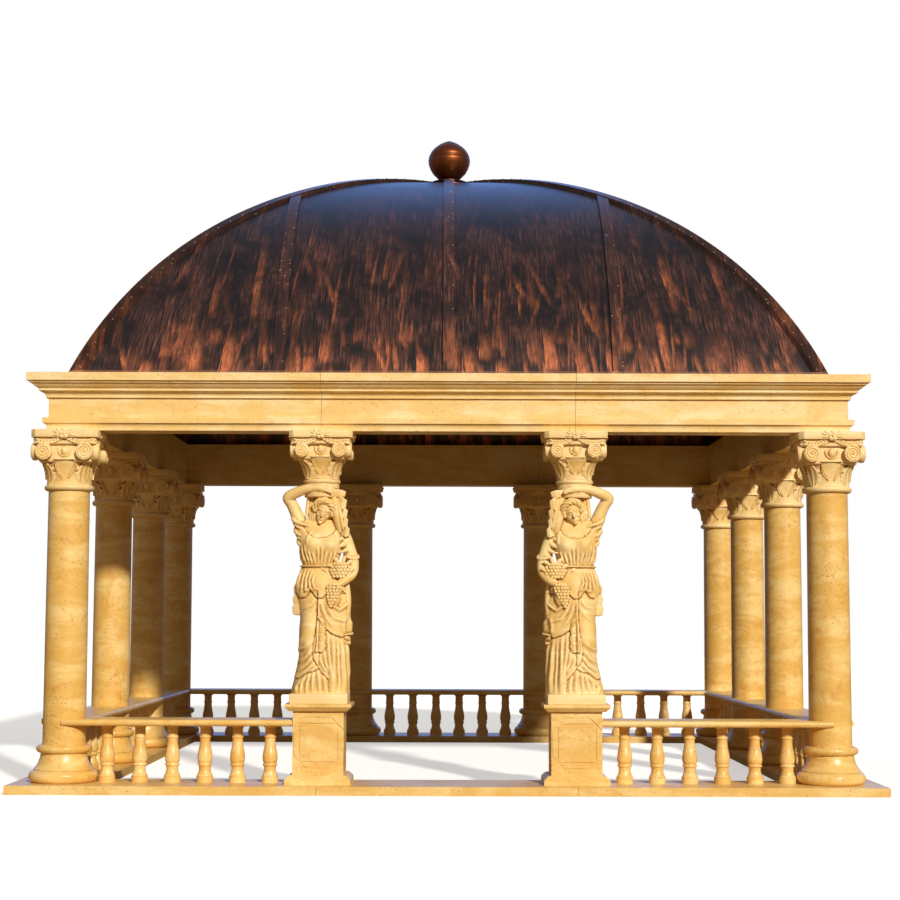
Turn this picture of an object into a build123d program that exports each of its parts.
from build123d import *
import math
import os
from types import SimpleNamespace

os.makedirs("parts", exist_ok=True)

# Plan: three bays a side, front towards -Y, millimetres
bay = 2333.0
bays_per_side = 3
axis_half = bay * bays_per_side / 2
joint = 3.0

# Ring of base slabs
slab_thickness = 80.0
slab_reach = 443.0
slab_inset = 300.0

# Column
column_height = 3200.0
lower_torus_height = 113.0
lower_torus_radius = 312.0
base_fillet_height = 9.0
base_fillet_radius = 270.0
scotia_height = 143.0
scotia_top_radius = 208.0
upper_torus_height = 75.0
upper_torus_radius = 248.0
shaft_bottom_radius = 195.0
shaft_top_radius = 188.0

# Capitals: heights run up from the underside of the astragal
column_capital_sizes = SimpleNamespace(
    height=550.0,
    astragal_height=56.0,
    astragal_radius=226.0,
    bell_bottom_radius=203.0,
    bell_top_radius=252.0,
    volute_radius=75.0,
    volute_offset=185.0,
    volute_reach=310.0,
    volute_lap=11.0,
    volute_relief=9.0,
    volute_band=13.0,
    volute_step=6.5,
    core_half=236.0,
    band_half=272.0,
    band_height=64.0,
    abacus_half=306.0,
    abacus_height=72.0,
    abacus_chamfer=46.0,
    rosette_radius=41.0,
    rosette_relief=16.0,
    egg_radius=44.0,
)
caryatid_capital_sizes = SimpleNamespace(
    height=480.0,
    astragal_height=48.0,
    astragal_radius=173.0,
    bell_bottom_radius=154.0,
    bell_top_radius=224.0,
    volute_radius=62.0,
    volute_offset=166.0,
    volute_reach=282.0,
    volute_lap=8.0,
    volute_relief=8.0,
    volute_band=11.0,
    volute_step=5.4,
    core_half=208.0,
    band_half=256.0,
    band_height=58.0,
    abacus_half=290.0,
    abacus_height=66.0,
    abacus_chamfer=42.0,
    rosette_radius=36.0,
    rosette_relief=14.0,
    egg_radius=38.0,
)
volute_quarters = 9
volute_margin = 4.0
bell_lap = 6.0
bolster_shares = (0.86, 0.78)
quarter_turn = 90.0

# Pedestal under each figure
pedestal_height = 720.0
pedestal_mould_height = 83.0
pedestal_mould_half = 297.0
pedestal_die_half = 230.0
pedestal_cap_height = 65.0
pedestal_cap_half = 300.0
pedestal_cove = 38.0
panel_margin = 52.0
panel_groove = 14.0
panel_depth = 7.0
panel_corner = 60.0

# Figure: its rows are shares of its height, drawn in parts and then scaled to stand under its capital
figure_parts = 1910
plinth_height = 90.0
plinth_margin = 8.0
figure_height = column_height - caryatid_capital_sizes.height - pedestal_height - plinth_height
drum_height_share = 0.0628
drum_radius_share = 0.0838
gown_folds = 14
points_per_fold = 4
fold_share = 0.045
# Rows: height, sideways, forward, half width, half depth, fold strength
gown_row_shares = (
    (0.000, 0.000, 0.000, 0.133, 0.110, 1.0),
    (0.073, 0.003, 0.000, 0.126, 0.101, 1.0),
    (0.204, 0.019, 0.000, 0.112, 0.088, 1.0),
    (0.330, 0.020, 0.003, 0.112, 0.087, 0.8),
    (0.450, 0.011, 0.003, 0.125, 0.090, 0.6),
    (0.518, -0.003, 0.001, 0.117, 0.087, 0.6),
    (0.602, -0.008, 0.000, 0.085, 0.068, 0.4),
    (0.675, 0.000, 0.006, 0.098, 0.078, 0.5),
    (0.754, 0.005, 0.006, 0.108, 0.081, 0.3),
    (0.810, 0.005, -0.002, 0.100, 0.060, 0.0),
    (0.846, 0.010, -0.004, 0.044, 0.042, 0.0),
)
# Limb points: sideways, forward, height, radius
raised_arm_shares = (
    (-0.098, 0.000, 0.795, 0.044),
    (-0.146, 0.012, 0.910, 0.030),
    (-0.030, 0.052, 0.968, 0.024),
    (0.034, 0.060, 0.970, 0.024),
)
lowered_arm_shares = (
    (0.106, 0.004, 0.785, 0.043),
    (0.146, 0.010, 0.606, 0.031),
    (0.074, 0.086, 0.520, 0.023),
    (0.040, 0.102, 0.512, 0.025),
)
neck_shares = (
    (0.010, 0.002, 0.812, 0.036),
    (0.021, 0.014, 0.860, 0.030),
)
grape_shares = (
    (0.056, 0.096, 0.560, 0.026),
    (0.046, 0.104, 0.520, 0.028),
    (0.040, 0.108, 0.480, 0.022),
    (0.044, 0.106, 0.446, 0.015),
)
head_centre_shares = (0.023, 0.024, 0.884)
head_radius_share = 0.048
head_half_height_share = 0.064
veil_shares = (0.090, -0.030, 0.852)
veil_size_shares = (0.090, 0.044, 0.240)

# Bench rails and balusters
rail_width = 440.0
rail_thickness = 60.0
rail_top = 575.0
rail_tip_gap = 20.0
balusters_per_bay = 6
baluster_clearance = 9.0
baluster_run_share = 0.9556
baluster_height = rail_top - rail_thickness
baluster_foot_radius = 76.0
baluster_ring_radius = 70.0
baluster_waist_radius = 54.0
baluster_collar_radius = 63.0
baluster_belly_radius = 68.0
baluster_neck_radius = 47.0
baluster_upper_ring_radius = 54.0
baluster_top_radius = 60.0
baluster_pinch = 6.0
foot_height_share = 0.100
ring_height_share = 0.128
waist_height_share = 0.215
collar_low_share = 0.292
collar_high_share = 0.330
belly_low_share = 0.345
belly_height_share = 0.430
neck_height_share = 0.760
upper_ring_low_share = 0.775
upper_ring_high_share = 0.815
top_neck_share = 0.955
top_low_share = 0.972

# Entablature: offsets are measured outwards from the column axis
beam_inner = 130.0
beam_fillet = 185.0
beam_fillet_height = 20.0
beam_cyma = 206.0
beam_cyma_height = 46.0
beam_band = 218.0
beam_band_height = 49.0
frieze_offset = 171.0
frieze_height = 185.0
cornice_steps = 24.0
cornice_fillet_height = 22.0
cornice_cove_height = 38.0
cornice_cove_offset = 236.0
cornice_bead_height = 20.0
cornice_bead_offset = 250.0
cornice_ovolo_height = 47.0
cornice_ovolo_offset = 306.0
cornice_list_height = 18.0
cornice_list_offset = 322.0
corona_height = 73.0
corona_offset = 346.0

# Hipped dome of metal sheet
dome_set_out = 0.5
dome_half = axis_half + dome_set_out
dome_rise = 2580.0
crown_radius = 3100.0
crown_angle = 24.0
sheet = 8.0
batten_width = 108.0
batten_height = 32.0
batten_offset = 1585.0
hip_half_width = 74.0
hip_height = 40.0
flashing_height = 62.0
apex_hole = 70.0

# Finial
collar_radius = 210.0
collar_rise = 46.0
collar_skirt = 30.0
neck_radius = 100.0
ball_radius = 235.0
ball_lift = 322.0
tip_rise = 238.0
tip_radius = 44.0
rib_clearance = 2.0

# Heights that follow from the sizes above
base_height = lower_torus_height + base_fillet_height + scotia_height + upper_torus_height
shaft_height = column_height - base_height - column_capital_sizes.height
column_top = slab_thickness + column_height
beam_height = beam_fillet_height + beam_cyma_height + beam_band_height + frieze_height
cornice_low = cornice_fillet_height + cornice_cove_height
cornice_mid = cornice_low + cornice_bead_height
cornice_high = cornice_mid + cornice_ovolo_height
cornice_under = cornice_high + cornice_list_height
cornice_height = cornice_under + corona_height
cornice_base = column_top + beam_height
dome_base = cornice_base + cornice_height

# Where the supports stand
stations = [(i - bays_per_side / 2) * bay for i in range(bays_per_side + 1)]
inner_stations = stations[1:-1]
left_spots = [(-axis_half, y) for y in stations]
right_spots = [(axis_half, y) for y in stations]
back_spots = [(x, axis_half) for x in inner_stations]
side_turns = {"front": 0, "right": 90, "back": 180, "left": 270}


def save(solids, node):
    export_step(Compound(children=list(solids)), "parts/" + node + ".step")


def turned(lines):
    face = Plane.XZ * make_face(lines)
    return revolve(face, Axis.Z)


def bulge(r0, z0, r1, z1, swell):
    mid = ((r0 + r1) / 2 + swell, (z0 + z1) / 2)
    return ThreePointArc((r0, z0), mid, (r1, z1))


def between(x0, x1, y0, y1, z0, z1):
    box = Box(x1 - x0, y1 - y0, z1 - z0)
    return Pos((x0 + x1) / 2, (y0 + y1) / 2, (z0 + z1) / 2) * box


def wedge(gap):
    far = axis_half + axis_half
    corner = make_face(Polyline((0, -gap), (-far, -far - gap), (far, -far - gap), (0, -gap)))
    return Pos(0, 0, -far) * extrude(corner, far * 4)


def around(solids, side):
    return [Rot(0, 0, side_turns[side]) * s for s in solids]


# Ring of base slabs
outer = axis_half + slab_reach
inner = axis_half - slab_inset
long_edges = [-outer] + inner_stations + [outer]
short_edges = [-inner + joint / 2] + inner_stations + [inner - joint / 2]


def slab_row(edges):
    row = []
    for a, b in zip(edges[:-1], edges[1:]):
        row.append(between(a + joint / 2, b - joint / 2, -outer, -inner, 0, slab_thickness))
    return row


for side in side_turns:
    edges = long_edges if side in ("front", "back") else short_edges
    save(around(slab_row(edges), side), side + "_base_slabs")

# Column base: torus, fillet, scotia, torus
z1 = lower_torus_height
z2 = z1 + base_fillet_height
z3 = z2 + scotia_height
half_low = lower_torus_height / 2
half_up = upper_torus_height / 2
low_flat = lower_torus_radius - half_low
up_flat = upper_torus_radius - half_up
scotia_sag = (base_fillet_radius - scotia_top_radius) / 4
base_line = [
    Line((0, 0), (low_flat, 0)),
    bulge(low_flat, 0, low_flat, z1, half_low),
    Line((low_flat, z1), (base_fillet_radius, z1)),
    Line((base_fillet_radius, z1), (base_fillet_radius, z2)),
    bulge(base_fillet_radius, z2, scotia_top_radius, z3, -scotia_sag),
    Line((scotia_top_radius, z3), (up_flat, z3)),
    bulge(up_flat, z3, up_flat, base_height, half_up),
    Line((up_flat, base_height), (0, base_height)),
    Line((0, base_height), (0, 0)),
]
column_base = turned(base_line)
rising = (Align.CENTER, Align.CENTER, Align.MIN)
shaft = Cone(shaft_bottom_radius, shaft_top_radius, shaft_height, align=rising)


# Volute: a spiral band of tangent quarter arcs round an eye
def spiral(c, inset):
    arcs = []
    x = 0
    z = 0
    for k in range(volute_quarters):
        r = c.volute_radius - volute_margin - k * c.volute_step - inset
        spots = []
        for turn in (0, 1 / 2, 1):
            a = math.radians(quarter_turn * (k + 1 + turn))
            spots.append((x + r * math.cos(a), z + r * math.sin(a)))
        arcs.append(ThreePointArc(*spots))
        a = math.radians(quarter_turn * (k + 2))
        x += c.volute_step * math.cos(a)
        z += c.volute_step * math.sin(a)
    return arcs, (x, z)


def volute(c):
    outer_arcs, eye = spiral(c, 0)
    inner_arcs, eye = spiral(c, c.volute_band)
    start = Line(outer_arcs[0] @ 0, inner_arcs[0] @ 0)
    end = Line(outer_arcs[-1] @ 1, inner_arcs[-1] @ 1)
    band = extrude(make_face(outer_arcs + inner_arcs + [start, end]), c.volute_relief)
    boss = Pos(*eye, 0) * Cylinder(c.volute_band, c.volute_relief, align=rising)
    return band + boss


def capital(c):
    under = c.height - c.abacus_height
    flat = c.astragal_radius - c.astragal_height / 2
    band_low = under - c.band_height
    volute_level = band_low + c.volute_lap - c.volute_radius
    bell_top = volute_level - c.volute_radius + bell_lap
    sag = (c.bell_top_radius - c.bell_bottom_radius) / 4
    bell = turned([
        Line((0, 0), (flat, 0)),
        bulge(flat, 0, flat, c.astragal_height, c.astragal_height / 2),
        Line((flat, c.astragal_height), (c.bell_bottom_radius, c.astragal_height)),
        bulge(c.bell_bottom_radius, c.astragal_height, c.bell_top_radius, bell_top, -sag),
        Line((c.bell_top_radius, bell_top), (0, bell_top)),
        Line((0, bell_top), (0, 0)),
    ])
    slab = Rectangle(c.abacus_half * 2, c.abacus_half * 2)
    slab = chamfer(slab.vertices(), c.abacus_chamfer)
    abacus = Pos(0, 0, under) * extrude(slab, c.abacus_height)
    core_low = bell_top - c.astragal_height / 2
    core = between(-c.core_half, c.core_half, -c.core_half, c.core_half, core_low, under)
    band = between(-c.band_half, c.band_half, -c.band_half, c.band_half, band_low, under)
    pieces = [abacus, core, band]
    reach = c.volute_reach - c.volute_relief
    disc_depth = reach - c.volute_offset - c.volute_radius - volute_margin
    scroll = volute(c)
    for turn in range(4):
        face_turn = Rot(0, 0, quarter_turn * turn)
        for hand in (-1, 1):
            mark = scroll if hand < 0 else mirror(scroll, about=Plane.YZ)
            seat = Pos(hand * c.volute_offset, -reach, volute_level) * Rot(quarter_turn, 0, 0)
            pieces.append(face_turn * seat * mark)
            inward = seat * Rot(quarter_turn * 2, 0, 0)
            pieces.append(face_turn * inward * Cylinder(c.volute_radius, disc_depth, align=rising))
            if turn < 2:
                bolster = Cylinder(c.volute_radius * bolster_shares[turn], reach * 2, align=rising)
                pieces.append(face_turn * inward * bolster)
        rose = Pos(0, -c.abacus_half, under + c.abacus_height / 2) * Rot(quarter_turn, 0, 0)
        pieces.append(face_turn * rose * Cylinder(c.rosette_radius, c.rosette_relief * 2))
        egg = Pos(0, -c.core_half, volute_level) * Sphere(c.egg_radius)
        pieces.append(face_turn * egg)
    return bell.fuse(*pieces)


column_capital = capital(column_capital_sizes)
caryatid_capital = capital(caryatid_capital_sizes)

for row, spots in (("left", left_spots), ("right", right_spots), ("back", back_spots)):
    base_z = slab_thickness
    shaft_z = base_z + base_height
    capital_z = shaft_z + shaft_height
    save([Pos(x, y, base_z) * column_base for x, y in spots], row + "_column_bases")
    save([Pos(x, y, shaft_z) * shaft for x, y in spots], row + "_column_shafts")
    save([Pos(x, y, capital_z) * column_capital for x, y in spots], row + "_column_capitals")

# Pedestal with an incised panel on each face of the die
mould = between(-pedestal_mould_half, pedestal_mould_half, -pedestal_mould_half, pedestal_mould_half,
                0, pedestal_mould_height)
mould = chamfer(mould.faces().sort_by(Axis.Z)[-1].edges(), pedestal_cove)
die_top = pedestal_height - pedestal_cap_height
die = between(-pedestal_die_half, pedestal_die_half, -pedestal_die_half, pedestal_die_half,
              pedestal_mould_height / 2, die_top)
cap = between(-pedestal_cap_half, pedestal_cap_half, -pedestal_cap_half, pedestal_cap_half,
              die_top, pedestal_height)
cap = chamfer(cap.faces().sort_by(Axis.Z)[0].edges(), pedestal_cove)
pedestal = mould.fuse(die, cap)
panel_width = (pedestal_die_half - panel_margin) * 2
panel_height = die_top - pedestal_mould_height - panel_margin * 2
rim = Rectangle(panel_width, panel_height)
rim = chamfer(rim.vertices(), panel_corner)
field = Rectangle(panel_width - panel_groove * 2, panel_height - panel_groove * 2)
field = chamfer(field.vertices(), panel_corner)
groove = extrude(rim - field, panel_depth)
panel_level = (pedestal_mould_height + die_top) / 2
groove_face = Plane((0, panel_depth - pedestal_die_half, panel_level), x_dir=(1, 0, 0), z_dir=(0, -1, 0))
for turn in range(4):
    pedestal = pedestal - Rot(0, 0, quarter_turn * turn) * groove_face * groove


# Figure: lofted gown, limbs of tapering lengths, head, veil and drum
def in_figure(row, hand):
    x, y, z = row[:3]
    return Vector(-hand * x * figure_parts, -y * figure_parts, z * figure_parts)


def limb(rows, hand):
    spots = [in_figure(row, hand) for row in rows]
    rings = []
    for k, row in enumerate(rows):
        course_of_limb = Vector(0, 0, 0)
        if k > 0:
            course_of_limb += (spots[k] - spots[k - 1]).normalized()
        if k < len(rows) - 1:
            course_of_limb += (spots[k + 1] - spots[k]).normalized()
        across = Plane(spots[k], x_dir=Vector(0, -1, 0).cross(course_of_limb), z_dir=course_of_limb)
        rings.append(across * Circle(row[3] * figure_parts))
    return loft(rings)


def gown_section(row, hand):
    height, x, y, half_width, half_depth, fold = row
    count = gown_folds * points_per_fold
    spots = []
    for k in range(count):
        a = math.radians(360) * k / count
        swell = 1 + fold_share * fold * math.cos(gown_folds * a)
        spots.append((half_width * swell * math.cos(a) * figure_parts,
                      half_depth * swell * math.sin(a) * figure_parts))
    ring = make_face(Spline(*spots, periodic=True))
    return Pos(*in_figure((x, y, height), hand)) * ring


def figure(hand):
    body = loft([gown_section(row, hand) for row in gown_row_shares])
    half_height = head_half_height_share * figure_parts
    outline = EllipticalCenterArc((0, 0), head_radius_share * figure_parts, half_height,
                                  start_angle=-quarter_turn, arc_size=quarter_turn * 2)
    head = turned([outline, Line((0, half_height), (0, -half_height))])
    pieces = [Pos(*in_figure(head_centre_shares, hand)) * head]
    drum_height = drum_height_share * figure_parts
    drum = Cylinder(drum_radius_share * figure_parts, drum_height, align=rising)
    pieces.append(Pos(0, 0, figure_parts - drum_height) * drum)
    pieces.append(Pos(*in_figure(veil_shares, hand)) * Box(*[s * figure_parts for s in veil_size_shares]))
    for rows in (raised_arm_shares, lowered_arm_shares, neck_shares):
        pieces.append(limb(rows, hand))
    for row in grape_shares:
        pieces.append(Pos(*in_figure(row, hand)) * Sphere(row[3] * figure_parts))
    for piece in pieces:
        body = body + piece
    body = scale(body, by=figure_height / figure_parts)
    plinth_half = gown_row_shares[0][3] * figure_height + plinth_margin
    return body + between(-plinth_half, plinth_half, -plinth_half, plinth_half, -plinth_height, 0)


for side, hand in (("left", -1), ("right", 1)):
    spot = (hand * bay / 2, -axis_half)
    figure_z = slab_thickness + pedestal_height + plinth_height
    save([Pos(*spot, slab_thickness) * pedestal], side + "_pedestal")
    save([Pos(*spot, figure_z) * figure(hand)], side + "_caryatid")
    save([Pos(*spot, figure_z + figure_height) * caryatid_capital], side + "_caryatid_capital")

# Bench rails: full-round edges, ends scribed round the shafts
rail_z = slab_thickness + rail_top - rail_thickness / 2
scribe = Cylinder(shaft_bottom_radius + joint, rail_thickness * 2)
rail_section = Plane.YZ * SlotOverall(rail_width, rail_thickness)


def rail(x0, x1):
    bar = Pos(x0, -axis_half, rail_z) * extrude(rail_section, x1 - x0)
    for x in stations:
        bar = bar - Pos(x, -axis_half, rail_z) * scribe
    return bar & wedge(joint / 2)


def rail_spans(side):
    spans = []
    for a, b in zip(stations[:-1], stations[1:]):
        spans.append([a + rail_tip_gap / 2, b - rail_tip_gap / 2])
    if side == "front":
        spans = [spans[0], spans[-1]]
        spans[0][1] = -bay / 2 - pedestal_die_half
        spans[1][0] = bay / 2 + pedestal_die_half
    return spans


# Turned baluster
def level(share):
    return share * baluster_height


def baluster_profile():
    foot = level(foot_height_share)
    ring = level(ring_height_share)
    waist = level(waist_height_share)
    collar_low = level(collar_low_share)
    collar_high = level(collar_high_share)
    belly_low = level(belly_low_share)
    belly = level(belly_height_share)
    neck = level(neck_height_share)
    ring_low = level(upper_ring_low_share)
    ring_high = level(upper_ring_high_share)
    top_neck = level(top_neck_share)
    top_low = level(top_low_share)
    step = baluster_collar_radius - baluster_pinch
    upper = baluster_upper_ring_radius - baluster_pinch
    return [
        Line((0, 0), (baluster_foot_radius, 0)),
        Line((baluster_foot_radius, 0), (baluster_foot_radius, foot)),
        Line((baluster_foot_radius, foot), (baluster_ring_radius, foot)),
        bulge(baluster_ring_radius, foot, baluster_ring_radius, ring, baluster_pinch / 2),
        Spline((baluster_ring_radius, ring), (baluster_waist_radius, waist), (step, collar_low)),
        Line((step, collar_low), (baluster_collar_radius, collar_low)),
        bulge(baluster_collar_radius, collar_low, baluster_collar_radius, collar_high, baluster_pinch / 2),
        Line((baluster_collar_radius, collar_high), (step, collar_high)),
        Line((step, collar_high), (step, belly_low)),
        Spline((step, belly_low), (baluster_belly_radius, belly), (baluster_neck_radius, neck),
               tangents=((1, 1), (0, 1))),
        Line((baluster_neck_radius, neck), (upper, ring_low)),
        bulge(upper, ring_low, upper, ring_high, baluster_pinch),
        Line((upper, ring_high), (baluster_neck_radius, ring_high)),
        Line((baluster_neck_radius, ring_high), (baluster_neck_radius, top_neck)),
        Line((baluster_neck_radius, top_neck), (baluster_top_radius, top_low)),
        Line((baluster_top_radius, top_low), (baluster_top_radius, baluster_height)),
        Line((baluster_top_radius, baluster_height), (0, baluster_height)),
        Line((0, baluster_height), (0, 0)),
    ]


baluster = turned(baluster_profile())


# Rows keep clear of the column bases and, at the front, of the pedestals
baluster_room = baluster_foot_radius + baluster_clearance
near_column = axis_half - lower_torus_radius - baluster_room
front_clear = bay - lower_torus_radius - pedestal_mould_half - baluster_room * 2
baluster_pitch = front_clear * baluster_run_share / (balusters_per_bay - 1)


def baluster_row(span, side):
    run = (balusters_per_bay - 1) * baluster_pitch
    first = (span[0] + span[1] - run) / 2
    if side == "front":
        first = -near_column if span[0] < 0 else near_column - run
    places = [first + k * baluster_pitch for k in range(balusters_per_bay)]
    return [Pos(x, -axis_half, slab_thickness) * baluster for x in places]


for side in side_turns:
    spans = rail_spans(side)
    save(around([rail(*span) for span in spans], side), side + "_bench_rails")
    turned_rows = [b for span in spans for b in baluster_row(span, side)]
    save(around(turned_rows, side), side + "_balusters")

# Entablature: architrave and frieze in one course, cornice in the next
h1 = beam_fillet_height
h2 = h1 + beam_cyma_height
h3 = h2 + beam_band_height
cyma_sag = (beam_cyma - beam_fillet) / 3
beam_line = [
    Line((-beam_inner, 0), (beam_fillet, 0)),
    Line((beam_fillet, 0), (beam_fillet, h1)),
    bulge(beam_fillet, h1, beam_cyma, h2, -cyma_sag),
    Line((beam_cyma, h2), (beam_band, h2)),
    Line((beam_band, h2), (beam_band, h3)),
    Line((beam_band, h3), (frieze_offset, h3)),
    Line((frieze_offset, h3), (frieze_offset, beam_height)),
    Line((frieze_offset, beam_height), (-beam_inner, beam_height)),
    Line((-beam_inner, beam_height), (-beam_inner, 0)),
]
fillet_out = frieze_offset + cornice_steps
cove_sag = cornice_cove_height / 5
ovolo_sag = cornice_ovolo_height / 5
cornice_line = [
    Line((-beam_inner, 0), (fillet_out, 0)),
    Line((fillet_out, 0), (fillet_out, cornice_fillet_height)),
    bulge(fillet_out, cornice_fillet_height, cornice_cove_offset, cornice_low, -cove_sag),
    Line((cornice_cove_offset, cornice_low), (cornice_bead_offset, cornice_low)),
    Line((cornice_bead_offset, cornice_low), (cornice_bead_offset, cornice_mid)),
    bulge(cornice_bead_offset, cornice_mid, cornice_ovolo_offset, cornice_high, ovolo_sag),
    Line((cornice_ovolo_offset, cornice_high), (cornice_list_offset, cornice_high)),
    Line((cornice_list_offset, cornice_high), (cornice_list_offset, cornice_under)),
    Line((cornice_list_offset, cornice_under), (corona_offset, cornice_under)),
    Line((corona_offset, cornice_under), (corona_offset, cornice_height)),
    Line((corona_offset, cornice_height), (-beam_inner, cornice_height)),
    Line((-beam_inner, cornice_height), (-beam_inner, 0)),
]


def course(lines, z):
    reach = axis_half + corona_offset
    section = Plane((0, -axis_half, z), x_dir=(0, -1, 0), z_dir=(-1, 0, 0)) * make_face(lines)
    edges = [-reach] + inner_stations + [reach]
    blocks = []
    for a, b in zip(edges[:-1], edges[1:]):
        block = Pos(b - joint / 2, 0, 0) * extrude(section, b - a - joint)
        blocks.append(block & wedge(joint / 2))
    return blocks


beams = course(beam_line, column_top)
cornices = course(cornice_line, cornice_base)
for side in side_turns:
    save(around(beams, side), side + "_architrave")
    save(around(cornices, side), side + "_cornice")

# Dome outline: a crown arc and a longer shoulder arc that meet on one tangent
turn = math.radians(crown_angle)
meet_x = crown_radius * math.sin(turn)
meet_z = dome_rise - crown_radius * (1 - math.cos(turn))
run_x = dome_half - meet_x
run_z = -meet_z
lean = run_x * math.sin(turn) + run_z * math.cos(turn)
shoulder_radius = -(run_x ** 2 + run_z ** 2) / (lean * 2)
shoulder_x = meet_x - shoulder_radius * math.sin(turn)
shoulder_z = meet_z - shoulder_radius * math.cos(turn)


def dome_arcs(lift):
    crown = crown_radius + lift
    shoulder = shoulder_radius + lift
    crown_z = dome_rise - crown_radius
    low = (shoulder_x + math.sqrt(shoulder ** 2 - shoulder_z ** 2), 0)
    meet = (crown * math.sin(turn), crown_z + crown * math.cos(turn))
    low_turn = math.atan2(low[0] - shoulder_x, -shoulder_z)
    half_way = (turn + low_turn) / 2
    mid = (shoulder_x + shoulder * math.sin(half_way), shoulder_z + shoulder * math.cos(half_way))
    top_mid = (crown * math.sin(turn / 2), crown_z + crown * math.cos(turn / 2))
    top = (0, crown_z + crown)
    return [ThreePointArc(low, mid, meet), ThreePointArc(meet, top_mid, top)]


def dome_band(low_lift, high_lift, x0, x1):
    inside = dome_arcs(low_lift)
    outside = dome_arcs(high_lift)
    foot = Line(inside[0] @ 0, outside[0] @ 0)
    head_edge = Line(inside[1] @ 1, outside[1] @ 1)
    section = Plane((0, 0, dome_base), x_dir=(0, -1, 0), z_dir=(-1, 0, 0))
    face = section * make_face(inside + outside + [foot, head_edge])
    return Pos(x1, 0, 0) * extrude(face, x1 - x0)


dome_reach = dome_half + hip_height * 2
above = dome_base + dome_rise * 2
apex_post = Pos(0, 0, dome_base) * Cylinder(apex_hole, above, align=rising)
collar_post = Pos(0, 0, dome_base) * Cylinder(collar_radius + rib_clearance, above, align=rising)
flash_top = dome_base + flashing_height
upper_half = between(-dome_reach, dome_reach, -dome_reach, dome_reach, flash_top, above)
lower_half = between(-dome_reach, dome_reach, -dome_reach, dome_reach, dome_base, flash_top)

# Sheets, parted under the battens and along the hips
parting = [-dome_reach, -batten_offset, 0, batten_offset, dome_reach]
sheets = []
for a, b in zip(parting[:-1], parting[1:]):
    piece = dome_band(-sheet, 0, a + joint / 2, b - joint / 2) & wedge(joint)
    sheets.append(piece - apex_post)
for side in side_turns:
    save(around(sheets, side), side + "_dome_panels")

# Battens stand on the sheets and stop at the flashing, hips and collar
battens = []
hip_gap = (hip_half_width + rib_clearance) * math.sqrt(2)
for x in (-batten_offset, 0, batten_offset):
    strip = dome_band(0, batten_height, x - batten_width / 2, x + batten_width / 2)
    battens.append((strip & wedge(hip_gap if x else 0) & upper_half) - collar_post)
save([b for side in side_turns for b in around(battens, side)], "dome_battens")

# Hip ribs fold over both faces
cover = dome_band(0, hip_height, -dome_reach, dome_reach) & wedge(0)
corner_cover = cover.fuse(Rot(0, 0, -quarter_turn) * cover)
hip_strip = between(-hip_half_width, hip_half_width, -dome_reach * 2, 0, 0, above)
hip_strip = Rot(0, 0, -quarter_turn / 2) * hip_strip
hip = (corner_cover & hip_strip & upper_half) - collar_post
save([Rot(0, 0, quarter_turn * k) * hip for k in range(4)], "dome_hip_ribs")

# Flashing round the foot of the dome
edge = dome_band(0, hip_height, -dome_reach, dome_reach) & wedge(0) & lower_half
edges = [Rot(0, 0, quarter_turn * k) * edge for k in range(4)]
save([edges[0].fuse(*edges[1:])], "dome_flashing")

# Finial: a collar cut to the crown, then the pointed ball
vault = dome_band(-dome_half / 2, 0, -dome_reach, dome_reach)
apex = dome_base + dome_rise
neck_top = ball_lift - math.sqrt(ball_radius ** 2 - neck_radius ** 2)
collar = turned([
    Line((0, -collar_skirt), (collar_radius, -collar_skirt)),
    Line((collar_radius, -collar_skirt), (collar_radius, collar_rise)),
    Line((collar_radius, collar_rise), (neck_radius, collar_rise)),
    Line((neck_radius, collar_rise), (neck_radius, neck_top)),
    Line((neck_radius, neck_top), (0, neck_top)),
    Line((0, neck_top), (0, -collar_skirt)),
])
collar = Pos(0, 0, apex) * collar
lows = [vault, Rot(0, 0, 180) * vault]
across = lows[0].fuse(lows[1])
solid_crown = across & (Rot(0, 0, quarter_turn) * across)
collar = collar - solid_crown
tip_z = ball_lift + math.sqrt(ball_radius ** 2 - tip_radius ** 2)
ball = turned([
    Line((0, neck_top), (neck_radius, neck_top)),
    ThreePointArc((neck_radius, neck_top), (ball_radius, ball_lift), (tip_radius, tip_z)),
    Line((tip_radius, tip_z), (0, ball_lift + tip_rise)),
    Line((0, ball_lift + tip_rise), (0, neck_top)),
])
save([collar], "finial_collar")
save([Pos(0, 0, apex) * ball], "finial_ball")
